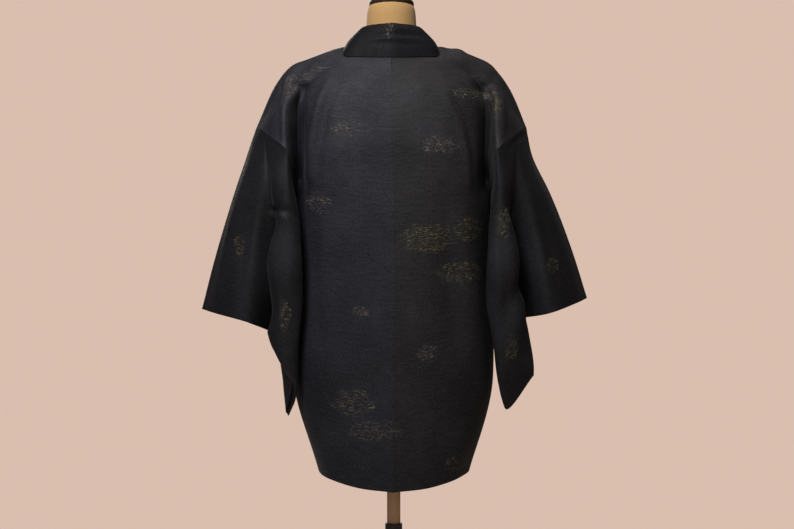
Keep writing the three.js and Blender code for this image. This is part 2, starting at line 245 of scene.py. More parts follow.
# ---- Torso of the dress form ----
# A limbless torso with sloping shoulders and a plain neck, moulded and covered with matt buff
# cotton stretched over it. Sections give height, half width, half depth and middle in Y, in mm.
TORSO_SECTIONS = [
    (676, 118, 82, 0),
    (700, 126, 88, 0),
    (800, 134, 92, 2),
    (950, 116, 82, 4),
    (1100, 138, 96, 2),
    (1200, 152, 102, 2),
    (1280, 166, 92, 4),
    (1332, 176, 66, 6),
    (1354, 183, 48, 6),
    (1371.4, 180, 34, 4),
    (1382, 150, 38, 4),
    (1392, 118, 44, 3),
    (1403.5, 84, 48, 2),
    (1417, 60, 49, 1),
    (1436, 50, 48, 0),
    (1458, 47.5, 46.5, 0),
    (1476, 46.2, 45.5, 0),
    (1485, 44.6, 44, 0),
    (1490, 42.5, 42.5, 0),
]
TORSO_RINGS = 4
TORSO_SIDES = 96
LEAN = 4.5  # mm to the wearer's left, from the lower height to the upper one
LEAN_FROM = 1080
LEAN_TO = 1280
COVER_BUFF = (0.56, 0.335, 0.125, 1)
COVER_WORN = (0.47, 0.27, 0.1, 1)


def curve_through(points, places):
    """Points of a smooth curve through others, or of many such curves side by side."""
    given = np.asarray(points, float)
    padded = np.concatenate([[2 * given[0] - given[1]], given, [2 * given[-1] - given[-2]]])
    curve = []
    for place in places:
        span = min(int(place), len(given) - 2)
        share = place - span
        before, start, end, after = padded[span : span + 4]
        d0, d1, d2 = (
            np.maximum(np.linalg.norm(b - a, axis=-1, keepdims=True), 1e-6) ** 0.5
            for a, b in ((before, start), (start, end), (end, after))
        )
        leave = ((start - before) / d0 - (end - before) / (d0 + d1) + (end - start) / d1) * d1
        arrive = ((end - start) / d1 - (after - start) / (d1 + d2) + (after - end) / d2) * d1
        curve.append(
            start
            + leave * share
            + (3 * (end - start) - 2 * leave - arrive) * share**2
            + (2 * (start - end) + leave + arrive) * share**3
        )
    return np.array(curve)


def leaned(points):
    """Points in mm moved to the wearer's left, more the higher they are between two heights."""
    rise = np.clip((points[..., 2] - LEAN_FROM) / (LEAN_TO - LEAN_FROM), 0, 1)
    moved = points.copy()
    moved[..., 0] += LEAN * rise * rise * (3 - 2 * rise)
    return moved


def lay_grid(form, points):
    """A grid laid on rows of points in mm. Gives its vertices with their rows and columns."""
    rows, columns = points.shape[:2]
    bmesh.ops.create_grid(form, x_segments=columns - 1, y_segments=rows - 1, size=1)
    laid = []
    for vert in form.verts:
        column = round((vert.co.x + 1) / 2 * (columns - 1))
        row = round((vert.co.y + 1) / 2 * (rows - 1))
        vert.co = stand_middle + Vector(points[row, column]) / 1000
        laid.append((vert, row, column))
    return laid


torso_places = [step / TORSO_RINGS for step in range((len(TORSO_SECTIONS) - 1) * TORSO_RINGS + 1)]
compass = np.linspace(0, math.tau, TORSO_SIDES + 1)
torso_rings = []
for height, half_width, half_depth, middle in curve_through(TORSO_SECTIONS, torso_places):
    across, deep = half_width * np.cos(compass), middle + half_depth * np.sin(compass)
    torso_rings.append(np.stack([across, deep, np.full(len(compass), height)], axis=-1))
torso = bmesh.new()
lay_grid(torso, leaned(np.array(torso_rings)))
bmesh.ops.remove_doubles(torso, verts=torso.verts, dist=1e-6)
open_edges = [edge for edge in torso.edges if edge.is_boundary]
bmesh.ops.holes_fill(torso, edges=open_edges)
bmesh.ops.recalc_face_normals(torso, faces=torso.faces)

buff_cover = Finish("buff cover", {"Sheen Weight": 0.15, "Sheen Roughness": 0.5, "Specular IOR Level": 0.3})
cover_place = buff_cover.place()
threads = buff_cover.cloudy(buff_cover.stretched(cover_place, (1, 1, 0.3)), 1400, 1)
patches = buff_cover.cloudy(cover_place, 18, 4)
buff_cover.feed(
    Base_Color=buff_cover.blend(threads * 0.3 + patches * 0.5, COVER_BUFF, COVER_WORN),
    Roughness=patches * 0.1 + 0.72,
    Normal=buff_cover.relief(threads, 0.0003, 0.5),
)
piece_from("torso_cover", torso, buff_cover, "form_torso")

# ---- Neck cap ----
# A turned and dark-stained wooden cap that closes the top of the neck.
CAP_STAIN = (0.022, 0.014, 0.012, 1)
CAP_LIGHT = (0.05, 0.03, 0.022, 1)
CAP_SIDE, CAP_DOME = 0.32, 0.68  # shares of its height: the upright side and the dome
CAP_ROUNDING = 0.0245
CAP_STEPS = 9

cap_low, cap_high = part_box("neck_cap")
cap_radius = (cap_high.x - cap_low.x) / 2
cap_middle = Vector(((cap_low.x + cap_high.x) / 2, stand_middle.y, 0))
cap_height = cap_high.z - cap_low.z
cap_profile = [(0, cap_low.z), (cap_radius, cap_low.z)]
for step in range(CAP_STEPS):
    turn = math.radians(10 * step)
    radius = cap_radius - CAP_ROUNDING * (1 - math.cos(turn))
    cap_profile.append((radius, cap_low.z + cap_height * (CAP_SIDE + CAP_DOME * math.sin(turn))))
cap_profile.append((0, cap_high.z))
stained_wood = Finish("stained wood", {"Coat Weight": 0.3, "Coat Roughness": 0.3})
cap_grain = stained_wood.cloudy(stained_wood.stretched(stained_wood.place(), (0.15, 1, 1)), 300, 4)
stained_wood.feed(
    Base_Color=stained_wood.blend(cap_grain, CAP_STAIN, CAP_LIGHT),
    Roughness=cap_grain * 0.2 + 0.35,
    Normal=stained_wood.relief(cap_grain, 0.0002, 0.3),
)
piece_from("turned_cap", turned(cap_profile, cap_middle), stained_wood, "neck_cap")

# ---- Body of the jacket, left and right ----
# Each half is one length of dark silk that runs from the back hem over the shoulder to the front
# hem. The halves are sewn together down the centre back. Beside the sleeves the cloth folds back
# on itself, because no arm fills the shoulder. A row for each section across it: [x, y, z] in mm
# at the centre (or neck) edge, back, blade, lip, slit, crest and side edge.
BODY_SECTIONS = [
    # back hem, hip, waist
    [[0, 135, 590], [58, 131, 596], [104, 110, 605], [134, 62, 610],
     [143, 8, 610], [143, -36, 608], [141, -72, 604]],
    [[0, 130, 770], [68, 127, 770], [134, 106, 770], [170, 72, 770],
     [186, 26, 770], [188, -12, 770], [186, -45, 770]],
    [[0, 127, 950], [66, 124, 950], [122, 108, 950], [152, 88, 950],
     [172, 54, 950], [187, 22, 950], [188, -8, 950]],
    # underarm, deep fold beside it, fold over the armhole seam
    [[0, 121, 1125], [68, 120, 1125], [118, 110, 1122], [150, 92, 1118],
     [168, 60, 1115], [179, 32, 1116], [183, 8, 1118]],
    [[0, 118, 1174], [66, 117, 1174], [116, 109, 1172], [154, 91, 1166],
     [172, 30, 1158], [180, 34, 1162], [188, 66, 1157]],
    [[0, 115, 1225], [64, 114, 1224], [114, 108, 1222], [156, 90, 1216],
     [174, 50, 1206], [185, 90, 1219], [190, 113, 1203]],
    # shoulder blade, nape, back of the neck, shoulder line
    [[0, 96, 1322], [62, 98, 1318], [116, 94, 1308], [160, 77, 1299],
     [174, 46, 1290], [192, 88, 1285], [234, 60, 1242]],
    [[0, 76, 1379], [44, 76, 1367], [100, 72, 1351], [149, 61, 1337],
     [171, 40, 1326], [194, 62, 1313], [243, 44, 1250]],
    [[84, 58, 1383], [100, 54, 1378], [126, 48, 1368], [158, 38, 1353],
     [186, 32, 1340], [210, 34, 1320], [250, 24, 1256]],
    [[86, -2, 1414], [104, -2, 1410], [128, -1, 1402], [158, 0, 1390],
     [190, 0, 1376], [222, 0, 1338], [257, 0, 1259]],
    # front of the neck, chest, fold over the armhole seam
    [[98, -46, 1393], [112, -44, 1388], [132, -42, 1379], [160, -40, 1364],
     [188, -36, 1343], [214, -34, 1316], [250, -24, 1256]],
    [[102, -88, 1333], [116, -84, 1328], [136, -78, 1318], [160, -68, 1304],
     [180, -58, 1294], [204, -78, 1282], [234, -58, 1242]],
    [[100, -122, 1225], [117, -120, 1222], [138, -114, 1218], [158, -96, 1212],
     [176, -52, 1206], [182, -78, 1222], [195, -96, 1203]],
    # deep fold beside the underarm, underarm, waist, hip and front hem
    [[97, -132, 1170], [114, -130, 1170], [135, -122, 1168], [154, -100, 1164],
     [172, -30, 1158], [178, -34, 1162], [189, -62, 1157]],
    [[92, -142, 1118], [110, -140, 1118], [130, -130, 1118], [152, -108, 1118],
     [168, -72, 1115], [179, -36, 1116], [183, -8, 1118]],
    [[84, -168, 950], [98, -158, 950], [114, -160, 950], [132, -142, 950],
     [152, -124, 950], [176, -84, 950], [188, -36, 950]],
    [[78, -190, 770], [92, -174, 770], [108, -182, 770], [124, -158, 770],
     [146, -150, 770], [164, -118, 770], [180, -86, 770]],
    [[75, -214, 590], [88, -190, 590], [104, -204, 590], [112, -172, 590],
     [128, -176, 594], [128, -148, 597], [135, -134, 600]],
]
UNDERARM_BACK, NAPE, SHOULDER, UNDERARM_FRONT = 3, 7, 9, 14
CELL = 6.0
CELLS_ACROSS_FOLD = 9
SEAM = 0.02  # each piece stops this far short of a seam
EDGE_CELLS = 6  # over which creases and swells die away toward a seam
BODY_SWELL = 1.6
SWELL_ACROSS, SWELL_DOWN = 55, 150
SILK_THICKNESS = 0.0011
# Soft creases: layer, width and height of the pressed line (above 0 stands out), then its way in x, z.
BODY_CREASES = [
    # wearer's left: the line where the shoulder cloth laps the back, then the edge of its roll
    ("back", 5, -7.0, [(112, 1374), (130, 1364), (150, 1348), (164, 1332), (170, 1310), (170, 1240),
                       (166, 1170)]),
    ("back", 7, 5.0, [(118, 1388), (142, 1374), (166, 1354), (182, 1332), (188, 1300), (186, 1240)]),
    ("back", 5, 5.0, [(198, 1352), (202, 1320), (202, 1280), (200, 1230), (202, 1180)]),
    ("back", 6, -5.0, [(211, 1345), (213, 1310), (212, 1270), (210, 1230)]),
    ("back", 7, -2.6, [(188, 1320), (184, 1290), (188, 1262)]),
    ("back", 14, 3.0, [(86, 1252), (112, 1115), (127, 984), (137, 882)]),
    ("back", 6, 4.0, [(112, 1356), (136, 1296), (150, 1235), (156, 1160)]),
    ("back", 8, -3.5, [(96, 1346), (122, 1276), (136, 1206), (142, 1120)]),
    ("back", 10, -2.0, [(104, 1180), (118, 1060), (128, 940)]),
    # wearer's right
    ("back", 26, 5.0, [(-100, 1400), (-150, 1392), (-200, 1368)]),
    ("front", 26, 5.0, [(-100, 1400), (-150, 1392), (-200, 1368)]),
    ("back", 6, 3.5, [(-110, 1404), (-122, 1400), (-134, 1396)]),
    ("back", 5, -7.0, [(-112, 1374), (-139, 1358), (-160, 1342), (-174, 1326), (-180, 1308),
                       (-176, 1270), (-172, 1200)]),
    ("back", 5, 4.5, [(-96, 1370), (-136, 1348), (-162, 1328), (-170, 1304), (-168, 1270)]),
    ("back", 6, 4.0, [(-190, 1340), (-198, 1312), (-200, 1270), (-200, 1220), (-204, 1170)]),
    ("back", 6, -4.0, [(-208, 1335), (-210, 1290), (-210, 1240)]),
    ("back", 8, 4.0, [(-112, 1392), (-142, 1376), (-170, 1352), (-188, 1326)]),
    ("back", 9, -4.0, [(-108, 1300), (-130, 1262), (-146, 1200), (-152, 1130)]),
    ("back", 7, 3.0, [(-96, 1312), (-118, 1272), (-134, 1210), (-140, 1140)]),
    ("back", 18, 2.6, [(-118, 1180), (-130, 1060), (-138, 930), (-142, 820)]),
    ("back", 14, -2.0, [(-96, 1120), (-104, 960), (-112, 800)]),
    ("back", 22, -2.4, [(40, 900), (52, 760), (60, 600)]),
    ("back", 16, -5.0, [(150, 1090), (146, 1000), (140, 900), (132, 800)]),
    ("back", 18, 2.2, [(-52, 860), (-62, 720), (-66, 600)]),
    ("front", 10, 3.4, [(120, 1320), (128, 1200), (122, 1060)]),
    ("front", 10, 3.0, [(-124, 1310), (-132, 1180), (-124, 1040)]),
    ("front", 10, -2.8, [(142, 1240), (146, 1120), (140, 980)]),
    ("front", 10, -2.8, [(-140, 1250), (-146, 1130), (-138, 960)]),
    ("front", 14, 2.8, [(102, 900), (96, 760), (92, 620)]),
    ("front", 14, -2.8, [(-112, 940), (-108, 800), (-104, 640)]),
]
# Woven motifs: layer, x, z, half width, half height, and share of gold against white and brown.
BODY_MOTIFS = [
    ("back", 75, 1244, 42, 15, 0.1),
    ("back", -84, 1213, 38, 18, 0.2),
    ("back", 136, 1109, 27, 23, 0.3),
    ("back", -62, 1046, 56, 30, 1.0),
    ("back", -138, 1062, 34, 24, 1.0),
    ("back", -122, 984, 50, 22, 0.7),
    ("back", 59, 914, 19, 13, 0.3),
    ("back", -62, 837, 24, 18, 0.3),
    ("back", 70, 748, 44, 30, 0.5),
    ("back", 34, 700, 52, 24, 0.4),
    ("back", 136, 1366, 24, 12, 0.2),
    ("back", 166, 1349, 24, 18, 0.3),
    ("back", 192, 1330, 17, 30, 0.3),
    ("back", -142, 1312, 44, 12, 0.6),
    ("back", -188, 1292, 12, 34, 0.7),
    ("back", -111, 637, 28, 18, 0.9),
    ("front", 140, 1180, 34, 22, 0.8),
    ("front", -136, 1090, 30, 24, 0.4),
    ("front", 116, 930, 30, 20, 0.3),
    ("front", -120, 780, 34, 28, 0.8),
    ("front", 118, 680, 34, 24, 0.6),
    ("front", -160, 1310, 30, 20, 0.5),
]
# Painted light and shade: both halves are one silk, but the left half's colour is painted lighter and bluer
# for the cool light falling on it, and the right half's is painted darker as shade.
SILK_LEFT_PAINTED_LIGHT = (0.0165, 0.0165, 0.0225)
SILK_RIGHT_PAINTED_SHADE = (0.0155, 0.0142, 0.0158)
SILK_SHINE = 0.22
WEAVE_DARK, WEAVE_LIGHT = 0.4, 1.6  # times the silk's colour
# Painted shade: toward the floor the silk's colour is darkened and its motifs are dimmed, standing in for
# the light from above falling off.
LOW_BELOW = 0.95  # metres above the floor, under which the silk grows darker and its motifs dimmer
LOW_RATE = 2.6
LOW_PAINTED_SHADE, LOW_PAINTED_DIMMING = 0.28, 0.55
PALE_THREADS = [
    (0.35, (0.036, 0.026, 0.025, 1)),
    (0.5, (0.075, 0.056, 0.052, 1)),
    (0.65, (0.15, 0.132, 0.125, 1)),
]
GOLD_THREADS = [
    (0.35, (0.03, 0.03, 0.014, 1)),
    (0.5, (0.066, 0.056, 0.022, 1)),
    (0.65, (0.125, 0.098, 0.045, 1)),
]


def silk(name, colour, shine=SILK_SHINE):
    """Near-black silk: fine cross-grained weave, slubs along the weft, woven motifs, and painted shade that
    darkens the silk and dims its motifs toward the floor.
    """
    gloss = {"Specular IOR Level": shine, "Sheen Weight": shine / 7, "Sheen Roughness": 0.4}
    cloth = Finish(name, gloss)
    weave_place = cloth.node("UVMap", {"uv_map": "cloth"})
    warp = cloth.cloudy(cloth.stretched(weave_place, (1, 0.08, 1)), 900, 1)
    weft = cloth.cloudy(cloth.stretched(weave_place, (0.05, 1, 1)), 800, 1)
    slubs = cloth.cloudy(cloth.stretched(weave_place, (0.25, 1, 1)), 200, 2)
    fleck = cloth.cloudy(weave_place, 330, 2)
    shade = cloth.cloudy(weave_place, 9, 4)
    height = cloth.node("SeparateXYZ", None, {0: cloth.place()}, 2)
    # Painted shade that grows from LOW_BELOW down toward the hem. It is mixed into the weave's streaks
    # below.
    low = ((LOW_BELOW - height) * LOW_RATE).held()
    dark = (*(WEAVE_DARK * part for part in colour), 1)
    light = (*(WEAVE_LIGHT * part for part in colour), 1)
    streaks_and_painted_shade = (slubs * 0.9 + fleck * 2.1 + warp * 0.5 + shade * 1.5 - 2.0 - low * LOW_PAINTED_SHADE).held()
    ground = cloth.blend(streaks_and_painted_shade, dark, light)

    cluster = cloth.node("Attribute", {"attribute_name": "motif"}, output=2)
    gold = cloth.node("Attribute", {"attribute_name": "gold"}, output=2)
    ragged = cloth.cloudy(cloth.stretched(weave_place, (0.45, 1, 1)), 75, 3)
    inside = ((cluster + ragged * 1.6 - 1.15) * 3).held() * (cluster > 0.03)
    stroke_inputs = {
        "Vector": cloth.stretched(weave_place, (0.5, 1, 1)),
        "Scale": 88,
        "Distortion": 12,
        "Detail": 2,
        "Detail Scale": 1.6,
    }
    strokes = cloth.node("TexWave", {"bands_direction": "Y"}, stroke_inputs, 1)
    breaks = cloth.cloudy(cloth.stretched(weave_place, (0.6, 1, 1)), 260, 1)
    # The motifs are dimmed lower down by the same painted shade.
    dim = 1 - low * LOW_PAINTED_DIMMING
    thread = inside * dim * ((strokes - 0.52) * 4).held() * ((breaks - 0.4) * 8).held()
    hue = cloth.cloudy(weave_place, 85, 1)
    pale = cloth.node("ValToRGB", {"stops": PALE_THREADS}, {0: hue})
    golden = cloth.node("ValToRGB", {"stops": GOLD_THREADS}, {0: hue})
    cloth.feed(
        Base_Color=cloth.blend(thread, ground, cloth.blend(gold, pale, golden)),
        Roughness=0.66 - slubs * 0.1 - thread * 0.15,
        Metallic=thread * gold * 0.2,
        Normal=cloth.relief(
            warp * 0.3 + weft * 0.3 + slubs * 0.3 + fleck * 0.5 + thread * 1.2, 0.0004, 0.7
        ),
    )
    return cloth


def cell_places(sections):
    """Places counted in sections, about a cell apart."""
    middles = [np.array(section[len(section) // 2], float) for section in sections]
    places = [0.0]
    for number, (start, end) in enumerate(zip(middles, middles[1:])):
        steps = max(2, round(np.linalg.norm(end - start) / CELL))
        places += [number + step / steps for step in range(1, steps + 1)]
    return places


def unit(vectors):
    """Vectors brought to a length of one."""
    return vectors / np.maximum(np.linalg.norm(vectors, axis=-1, keepdims=True), 1e-9)


def normals_of(grid, closed=False):
    """The normal of a grid of points at each of them."""
    along = np.gradient(grid, axis=0)
    if closed:
        across = np.roll(grid, -1, axis=1) - np.roll(grid, 1, axis=1)
    else:
        across = np.gradient(grid, axis=1)
    return unit(np.cross(across, along))


def press_creases(grid, normals, layers, creases):
    """Moves the points of each layer out or in along soft lines that fade at their ends."""
    flat = grid[..., [0, 2]]
    for layer, width, height, way in creases:
        route = np.array(way, float)
        lengths = np.linalg.norm(np.diff(route, axis=0), axis=1)
        starts = np.concatenate([[0], np.cumsum(lengths)])
        nearest = np.full(grid.shape[:2], 1e9)
        share = np.zeros(grid.shape[:2])
        for start, end, length, before in zip(route, route[1:], lengths, starts):
            t = np.clip(((flat - start) @ (end - start)) / length**2, 0, 1)
            distance = np.linalg.norm(flat - start - t[..., None] * (end - start), axis=-1)
            closer = distance < nearest
            nearest = np.where(closer, distance, nearest)
            share = np.where(closer, (before + t * length) / starts[-1], share)
        fade = np.sin(math.pi * np.clip(0.04 + 0.92 * share, 0, 1)) ** 0.7
        lift = height * fade * np.exp(-((nearest / width) ** 2)) * (layers == layer)
        grid += normals * lift[..., None]


def hang_unevenly(grid, normals, height, seed):
    """Small wide swells, longer up and down than across."""
    for row in range(grid.shape[0]):
        for column in range(grid.shape[1]):
            x, y, z = grid[row, column]
            swell = noise.noise(Vector((x / SWELL_ACROSS, y / SWELL_ACROSS + seed, z / SWELL_DOWN)))
            grid[row, column] += normals[row, column] * height * swell


def motif_values(grid, layers, motifs):
    """How far inside a woven motif each point lies, and the share of gold there."""
    inside = np.zeros(grid.shape[:2])
    gold = np.zeros(grid.shape[:2])
    for layer, x, z, half_width, half_height, share in motifs:
        out = ((grid[..., 0] - x) / half_width) ** 2 + ((grid[..., 2] - z) / half_height) ** 2
        here = np.clip(1.25 - out, 0, 1) * (layers == layer)
        gold = np.where(here > inside, share, gold)
        inside = np.maximum(inside, here)
    return inside, gold


def cloth_piece(name, grid, values, finish, node, outward, closed=False, thickness=SILK_THICKNESS):
    """A thin shell of cloth on a grid of points in mm. outward is a row, a column and the way it faces."""
    rows, columns = grid.shape[:2]
    if closed:
        grid = np.concatenate([grid, grid[:, :1]], axis=1)
        values = [np.concatenate([value, value[:, :1]], axis=1) for value in values]
        columns += 1
    across = np.zeros((rows, columns))
    across[:, 1:] = np.cumsum(np.linalg.norm(np.diff(grid, axis=1), axis=-1), axis=1)
    along = np.zeros((rows, columns))
    along[1:] = np.cumsum(np.linalg.norm(np.diff(grid, axis=0), axis=-1), axis=0)
    form = bmesh.new()
    uv_layer = form.loops.layers.uv.new("cloth")
    value_layers = [form.verts.layers.float.new(label) for label in ("motif", "gold")]
    for vert, row, column in lay_grid(form, grid):
        for layer, value in zip(value_layers, values):
            vert[layer] = value[row, column]
        for loop in vert.link_loops:
            loop[uv_layer].uv = (across[row, column] / 1000, along[row, column] / 1000)
    bmesh.ops.remove_doubles(form, verts=form.verts, dist=1e-6)
    for edge in form.edges:
        edge.smooth = not edge.is_boundary
    wanted_row, wanted_column, direction = outward
    target = stand_middle + Vector(grid[wanted_row, wanted_column]) / 1000
    nearest = min(form.faces, key=lambda face: (face.calc_center_median() - target).length)
    if nearest.normal.dot(Vector(direction)) < 0:
        bmesh.ops.reverse_faces(form, faces=form.faces)
    form.normal_update()
    piece = piece_from(name, form, finish, node)
    wall = piece.modifiers.new("cloth", "SOLIDIFY")
    wall.thickness = thickness
    wall.offset = 0
    return piece


def narrowed(grid, amount):
    """Takes the outer columns in for the gap of a seam."""
    for edge, inside in ((0, 1), (-1, -2)):
        grid[:, edge] += unit(grid[:, inside] - grid[:, edge]) * amount


mirror = np.array([-1, 1, 1])
sections = np.array(BODY_SECTIONS, float)
body_places = cell_places(BODY_SECTIONS)
cells_across = (sections.shape[1] - 1) * CELLS_ACROSS_FOLD
fold_places = [step / CELLS_ACROSS_FOLD for step in range(cells_across + 1)]
across_sections = curve_through(sections.transpose(1, 0, 2), fold_places)
body_grid = curve_through(across_sections.transpose(1, 0, 2), body_places)
body_grid[np.array(body_places) <= NAPE, 0, 0] = 0
nape_row, neck_row = body_places.index(NAPE), body_places.index(NAPE + 1)
nape_point, neck_point = body_grid[nape_row, 0].copy(), body_grid[neck_row, 0].copy()
for row in range(nape_row + 1, neck_row):
    straight = nape_point + (neck_point - nape_point) * (row - nape_row) / (neck_row - nape_row)
    drop = straight - body_grid[row, 0]
    for column in range(CELLS_ACROSS_FOLD):
        body_grid[row, column] += drop * (1 - column / CELLS_ACROSS_FOLD)
body_layers = np.where(np.array(body_places) < SHOULDER, "back", "front")[:, None]
body_layers = np.broadcast_to(body_layers, body_grid.shape[:2])
# Each half gets its own copy of the silk, the left one painted lighter and the right one painted darker.
# The gussets take the same copies.
body_silk_lit_and_shaded = {"left": silk("left body silk with painted light", SILK_LEFT_PAINTED_LIGHT), "right": silk("right body silk with painted shade", SILK_RIGHT_PAINTED_SHADE)}
for side, flip in (("left", 1), ("right", -1)):
    half = leaned(body_grid * (mirror if flip < 0 else 1))
    outward = normals_of(half) * flip
    outward *= 1 if outward[4, 4, 1] > 0 else -1
    edge_fade = np.ones(half.shape[:2])
    edge_fade[:, :EDGE_CELLS] = np.linspace(0, 1, EDGE_CELLS)
    edge_fade[:, -EDGE_CELLS:] = np.linspace(1, 0, EDGE_CELLS)
    pressed = half.copy()
    press_creases(pressed, outward, body_layers, BODY_CREASES)
    hang_unevenly(pressed, outward, BODY_SWELL, 3 + flip)
    half += (pressed - half) * edge_fade[..., None]
    narrowed(half, SEAM)
    values = motif_values(half, body_layers, BODY_MOTIFS)
    piece = cloth_piece(
        "silk_body_" + side, half, values, body_silk_lit_and_shaded[side], "body_" + side, (20, 4, (0, 1, 0))
    )

# ---- Sleeves ----
# Each sleeve is a wide tube of the same silk, sewn round the armhole and hanging empty, so that its
# two layers lie together. A row for each section of the back layer, from the fold at the top to the
# one at the bottom; the columns of the mesh that its points lie on come first.
SLEEVE_INNER_EDGE = [[199, 30, 1028], [207, -38, 905], [209, -50, 1010]]
SLEEVE_COLUMNS = [
    [0, 2, 5, 6, 7, 8, 10, 13, 18],
    [0, 3, 5, 7, 8, 9, 11, 14, 18],
    [0, 3, 5, 7, 9, 11, 13, 15, 18],
    [0, 3, 5, 7, 9, 11, 13, 15, 18],
]
SLEEVE_LEFT = [
    [[279, 0, 1200], [264, 46, 1190], [238, 78, 1172], [226, 85, 1154], [219, 101, 1136],
     [194, 116, 1108], [170, 100, 1062], [195, 60, 985], [204, 0, 872]],
    [[307, 0, 1123], [288, 48, 1110], [252, 80, 1082], [208, 58, 1040], [227, 100, 1006],
     [194, 117, 948], [168, 102, 905], [186, 80, 860], [202, 38, 806]],
    [[341, 0, 1010], [316, 50, 998], [264, 82, 972], [208, 22, 905], [229, 90, 880],
     [200, 112, 820], [178, 96, 775], [184, 84, 746], [194, 71, 719]],
    [[366, 0, 913], [334, 46, 907], [270, 78, 892], [224, -10, 864], [232, 80, 874],
     [224, 88, 850], [215, 82, 832], [210, 74, 822], [209, 64, 812]],
]
SLEEVE_RIGHT = [
    [[267, 0, 1206], [256, 46, 1194], [238, 76, 1176], [224, 86, 1160], [214, 102, 1140],
     [197, 116, 1110], [174, 100, 1062], [195, 60, 985], [206, 0, 872]],
    [[300, 0, 1132], [284, 48, 1118], [254, 80, 1090], [212, 58, 1048], [228, 100, 1010],
     [202, 117, 948], [174, 102, 905], [190, 80, 860], [204, 38, 806]],
    [[340, 0, 1026], [318, 50, 1012], [272, 82, 986], [214, 22, 950], [235, 94, 938],
     [220, 110, 858], [196, 100, 796], [201, 88, 756], [208, 71, 731]],
    [[369, 0, 934], [342, 46, 926], [286, 80, 908], [232, -10, 894], [242, 84, 898],
     [250, 90, 858], [256, 82, 828], [259, 72, 808], [260, 62, 793]],
]
ARMHOLE_COLUMNS, LOWER_COLUMNS, FRONT_COLUMNS = 12, 6, 16
SLEEVE_STEPS = 24
LOWER_STEPS = 16
SEAM_STEPS = 10  # points along the armhole seam for each of the body's sections
SLEEVE_SWELL = 1.4
# Painted shade: the sleeves are the same silk as the body, given a darker colour for the shade on their
# outer parts.
SLEEVE_SILK_PAINTED_SHADE = (0.0105, 0.0098, 0.0118)
SLEEVE_DEPTH = 13  # between the two layers
CUFF_DEPTH = 3  # between them at the cuff
CLOSING_FROM = 0.6  # the share of the sleeve from which they come closer
UNDERARM_SLACK = 4.4  # the free inner edge stands out where the armhole seam ends
FRONT_FULLNESS = 16  # the front layer bellies outward on its way to the back
FRONT_SPREAD = 0.42  # the share of the sleeve that this way takes
FULL_FROM, FULL_OVER = 0.1, 0.5  # shares of its height where the fullness begins, and that it grows over
FOLD_SHARE = 8  # the folds at top and bottom each round an eighth of the height
SLEEVE_CREASES = [
    ("back", 5, -3.5, [(250, 1246), (224, 1232), (206, 1216), (192, 1190)]),
    ("back", 5, 3.0, [(240, 1256), (214, 1236), (196, 1206)]),
    ("back", 4, -6.0, [(230, 1098), (208, 1099), (190, 1092), (176, 1083)]),
    ("back", 6, 3.5, [(228, 1088), (206, 1088), (186, 1080)]),
    ("back", 9, 2.6, [(214, 1010), (206, 930), (204, 850)]),
    ("back", 7, 3.0, [(206, 1170), (214, 1130), (222, 1090), (226, 1010), (226, 930)]),
    ("back", 12, -3.0, [(262, 1100), (276, 1020), (282, 930)]),
    ("back", 10, 2.6, [(292, 1120), (312, 1030), (326, 940)]),
    ("back", 5, -3.0, [(-250, 1246), (-226, 1230), (-206, 1206)]),
    ("back", 5, 2.6, [(-238, 1254), (-214, 1234), (-200, 1200)]),
    ("back", 10, 2.6, [(-214, 1080), (-222, 990), (-228, 880)]),
    ("back", 6, -2.6, [(-196, 1060), (-200, 980), (-206, 900)]),
    ("back", 12, -3.0, [(-268, 1120), (-290, 1020), (-300, 950)]),
    ("back", 10, 2.4, [(-246, 1150), (-272, 1040), (-290, 930)]),
    ("front", 12, 3.2, [(236, 1160), (250, 1060), (262, 960)]),
    ("front", 12, -3.0, [(212, 1080), (222, 980), (226, 880)]),
    ("front", 12, 3.2, [(-234, 1170), (-252, 1060), (-266, 970)]),
    ("front", 12, -3.0, [(-212, 1090), (-226, 980), (-232, 880)]),
]
SLEEVE_MOTIFS = [
    ("back", -206, 1267, 16, 28, 0.5),
    ("back", -200, 1074, 14, 32, 0.8),
    ("back", 286, 1034, 14, 20, 0.9),
    ("back", -292, 997, 14, 16, 0.9),
    ("back", 196, 905, 12, 34, 0.4),
    ("back", -214, 846, 14, 26, 0.7),
    ("front", 262, 1090, 34, 24, 0.7),
    ("front", 232, 900, 30, 22, 0.3),
    ("front", -270, 1060, 34, 22, 0.4),
    ("front", -240, 880, 32, 24, 0.8),
]


def body_edge(place):
    """The side edge of the body's left half at a place counted in sections."""
    return curve_through(sections[:, -1], [place])[0]


def at_column(where, columns, points):
    """The point of a row at a place counted in columns."""
    return np.array([np.interp(where, columns, points[:, axis]) for axis in range(3)])


